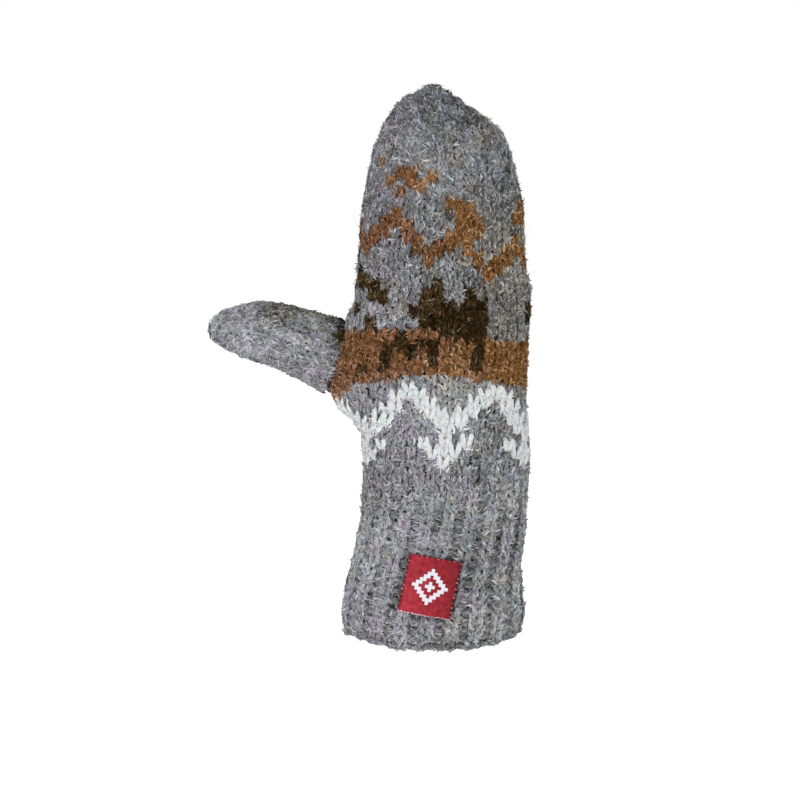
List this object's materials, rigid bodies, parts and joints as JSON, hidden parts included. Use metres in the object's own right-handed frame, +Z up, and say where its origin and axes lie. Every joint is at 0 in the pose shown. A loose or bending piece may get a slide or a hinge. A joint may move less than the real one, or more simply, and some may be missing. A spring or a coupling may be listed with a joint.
{
  "type": "alpaca mitten",
  "caption": "Hand-knitted wool mitten with a long ribbed cuff, a plain thumb and a small woven label, open at the wrist and hollow to the tips.",
  "frame": {"origin": "centre of the cuff's opening, where the wrist goes in", "axes": "+Z up from the cuff to the fingertips, -Y out of the back of the hand, where the label is, and -X towards the thumb"},
  "size_m": [0.1485, 0.0626, 0.2586],
  "materials": {
    "grey_wool": "heathered grey alpaca yarn, hairy and matt",
    "white_wool": "off-white alpaca yarn, hairy and matt",
    "rust_wool": "rust brown alpaca yarn, hairy and matt",
    "brown_wool": "dark brown alpaca yarn, hairy and matt",
    "label_weave": "red woven ribbon, slightly shiny"
  },
  "bodies": {
    "root": {"cuff": "grey_wool", "hand": "grey_wool", "thumb": "grey_wool", "label": "label_weave"}
  },
  "joints": []
}
